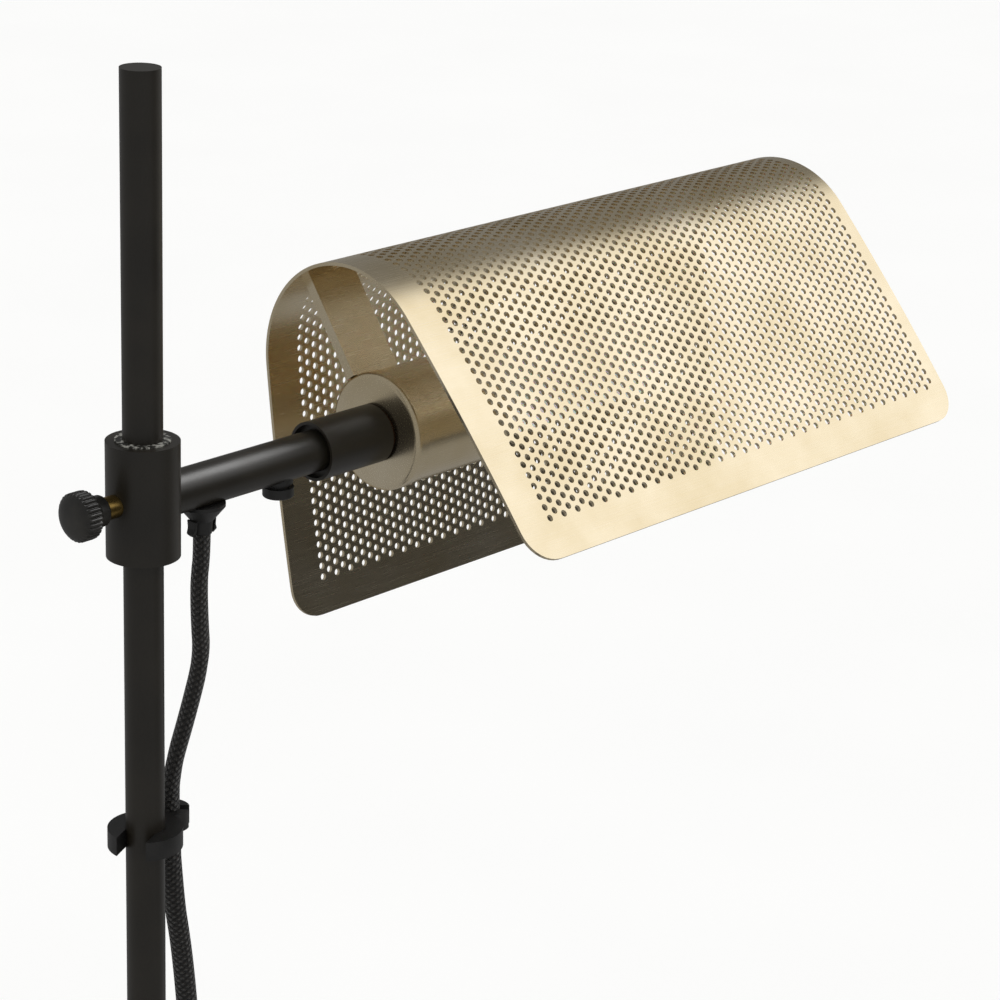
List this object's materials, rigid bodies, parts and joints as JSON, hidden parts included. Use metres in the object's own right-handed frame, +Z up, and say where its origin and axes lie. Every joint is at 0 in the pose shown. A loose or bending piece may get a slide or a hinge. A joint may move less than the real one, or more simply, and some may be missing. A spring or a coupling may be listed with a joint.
{
  "type": "pharmacy floor lamp",
  "caption": "Slim floor lamp: a weighted round foot, a tall tube pole, a clamping collar with a short arm, and a long perforated brass shade that tips about the arm.",
  "frame": {"origin": "middle of the foot's underside, on the floor", "axes": "+Z up the pole, +X along the arm from the pole to the shade, so the lit opening tips towards -Y"},
  "size_m": [0.464, 0.3126, 1.35],
  "materials": {
    "felt": "matt felt",
    "cast_iron": "rough cast",
    "black_paint": "satin black",
    "steel": "plated",
    "nylon": "moulded nylon",
    "black_plastic": "semi-matt black",
    "screw_brass": "turned",
    "fibre": "vulcanised fibre",
    "brass": "brushed, pale and warm",
    "socket_ceramic": "glazed",
    "contact_metal": "plated",
    "bulb_glass": "opal",
    "cord_braid": "braided",
    "lead_insulation": "smooth"
  },
  "bodies": {
    "stand": {"base_pad": "felt", "base_weight": "cast_iron", "base_cover": "black_paint", "foot_washer": "steel", "foot_nut": "steel", "foot_stud": "steel", "foot_insert": "steel", "foot_collar": "black_paint", "lower_pole": "black_paint", "middle_pole": "black_paint", "upper_pole": "black_paint", "pole_joiners": "steel", "pole_cap": "black_paint", "cord_clip_1": "black_plastic", "cord_clip_2": "black_plastic", "cord_clip_3": "black_plastic", "cord_clip_4": "black_plastic", "cord_middle": "cord_braid", "cord_lower": "cord_braid", "cord_coil": "cord_braid", "coil_tie": "black_plastic", "cord_tail": "cord_braid", "plug_body": "black_plastic", "plug_blades": "screw_brass"},
    "slider": {"upper_bush": "nylon", "lower_bush": "nylon", "top_cord_clip": "black_plastic", "cord_upper": "cord_braid"},
    "carriage": {"collar": "black_paint", "arm_tube": "black_paint", "cord_gland": "black_paint", "strain_relief": "black_plastic", "switch_neck": "steel", "switch_body": "black_plastic", "sleeve": "black_paint", "swivel_nipple": "steel", "swivel_nut": "steel", "friction_washer": "fibre", "inner_lead": "lead_insulation"},
    "clamp_tip": {"clamp_pad": "nylon"},
    "thumbscrew": {"thumb_screw": "screw_brass", "thumb_knob": "black_plastic"},
    "switch": {"switch_button": "black_plastic"},
    "head": {"spring_washer": "steel", "housing_lid": "brass", "housing_cup": "brass", "shade_bracket": "brass", "shade": "brass", "socket_body": "socket_ceramic", "socket_shell": "contact_metal", "socket_contact": "contact_metal", "bulb_cap": "contact_metal", "bulb": "bulb_glass"}
  },
  "joints": [
    {"name": "carriage_slide", "type": "slide", "parent": "stand", "child": "slider", "axis": [0, 0, 1], "range_m": [-0.075, 0.105], "deforming": ["cord_middle"]},
    {"name": "carriage_swivel", "type": "hinge", "parent": "slider", "child": "carriage", "pos_m": [0, 0, 1.21], "axis": [0, 0, 1], "range_deg": [-90, 90], "deforming": ["cord_upper"]},
    {"name": "clamp_travel", "type": "slide", "parent": "carriage", "child": "clamp_tip", "axis": [-1, 0, 0], "range_m": [0, 0.0021]},
    {"name": "thumbscrew_turn", "type": "hinge", "parent": "clamp_tip", "child": "thumbscrew", "pos_m": [-0.02, 0, 1.2114], "axis": [-1, 0, 0], "range_deg": [0, 720]},
    {"name": "switch_press", "type": "slide", "parent": "carriage", "child": "switch", "axis": [0, 0, 1], "range_m": [0, 0.0012], "stiffness_N_per_m": 900, "springref_m": -0.001},
    {"name": "head_tilt", "type": "hinge", "parent": "carriage", "child": "head", "pos_m": [0.11, 0, 1.21], "axis": [1, 0, 0], "range_deg": [-64, 115]}
  ],
  "couplings": [
    {"joint": "clamp_travel", "follows": "thumbscrew_turn", "m_per_rad": 0.00015915}
  ]
}
